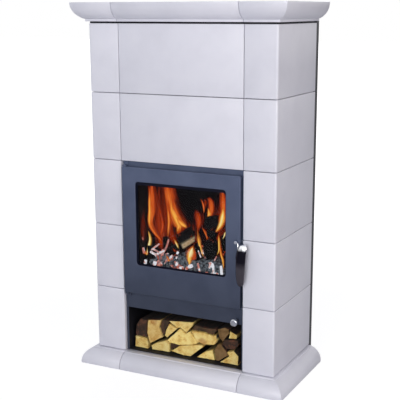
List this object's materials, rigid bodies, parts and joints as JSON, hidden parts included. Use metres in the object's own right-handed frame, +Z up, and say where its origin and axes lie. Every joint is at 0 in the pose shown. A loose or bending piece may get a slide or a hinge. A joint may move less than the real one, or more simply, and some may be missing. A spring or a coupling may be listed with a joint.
{
  "type": "tiled wood stove",
  "caption": "Wood-burning stove clad in glazed tiles, with a moulded plinth and cornice, a glazed firebox door with a lever handle, an air slide and an open log store.",
  "frame": {"origin": "on the floor, under the middle of the tiled body's footprint", "axes": "+X across the front to the right, +Y from the front to the back, +Z up"},
  "size_m": [0.754, 0.444, 1.231],
  "materials": {
    "glaze": "glossy pale grey-white glaze",
    "grey_steel": "heat-proof blue-grey metallic paint",
    "dark_steel": "heat-proof matt black paint",
    "cast_iron": "raw casting",
    "fireclay": "sooty fireclay",
    "chrome": "polished",
    "glass": "clear ceramic glass",
    "rope_seal": "braided glass fibre",
    "split_wood": "rough split wood with bark",
    "charcoal": "charred wood",
    "ember": "glowing embers and ash"
  },
  "bodies": {
    "stove": {"corner_tile_left_1": "glaze", "corner_tile_left_2": "glaze", "corner_tile_left_3": "glaze", "corner_tile_left_4": "glaze", "corner_tile_left_5": "glaze", "corner_tile_right_1": "glaze", "corner_tile_right_2": "glaze", "corner_tile_right_3": "glaze", "corner_tile_right_4": "glaze", "corner_tile_right_5": "glaze", "front_tile_1": "glaze", "front_tile_2": "glaze", "plinth_left": "glaze", "plinth_centre": "glaze", "plinth_right": "glaze", "cornice_left": "glaze", "cornice_centre": "glaze", "cornice_right": "glaze", "carcass": "dark_steel", "rear_casing": "dark_steel", "carrier_plate": "dark_steel", "top_cover": "dark_steel", "front_fascia": "grey_steel", "log_store": "dark_steel", "firebox_shell": "dark_steel", "air_box": "dark_steel", "smoke_hood": "dark_steel", "hearth_slab": "fireclay", "grate": "cast_iron", "ash_pan": "dark_steel", "lining_left": "fireclay", "lining_right": "fireclay", "lining_rear": "fireclay", "baffle": "fireclay", "flue_collar": "dark_steel", "hinge_bracket_upper": "grey_steel", "hinge_bracket_lower": "grey_steel", "firewood_1": "split_wood", "firewood_2": "split_wood", "firewood_3": "split_wood", "firewood_4": "split_wood", "firewood_5": "split_wood", "firewood_6": "split_wood", "firewood_7": "split_wood", "firewood_8": "split_wood", "firewood_9": "split_wood", "firewood_10": "split_wood", "ember_bed": "ember", "burning_log_1": "charcoal", "burning_log_2": "charcoal", "burning_log_3": "charcoal"},
    "door": {"door_panel": "grey_steel", "glass_gasket": "rope_seal", "door_glass": "glass", "glass_retainer": "dark_steel", "door_seal": "rope_seal"},
    "handle": {"door_handle": "chrome", "handle_spindle": "chrome"},
    "air_control": {"air_knob": "chrome", "air_slide": "dark_steel"}
  },
  "joints": [
    {"name": "door_swing", "type": "hinge", "parent": "stove", "child": "door", "pos_m": [-0.207, -0.179, 0.488], "axis": [0, 0, -1], "range_deg": [0, 110]},
    {"name": "handle_turn", "type": "hinge", "parent": "door", "child": "handle", "pos_m": [0.203, -0.185, 0.494], "axis": [0, -1, 0], "range_deg": [0, 90]},
    {"name": "air_pull", "type": "slide", "parent": "stove", "child": "air_control", "axis": [0, -1, 0], "range_m": [0, 0.03]}
  ]
}
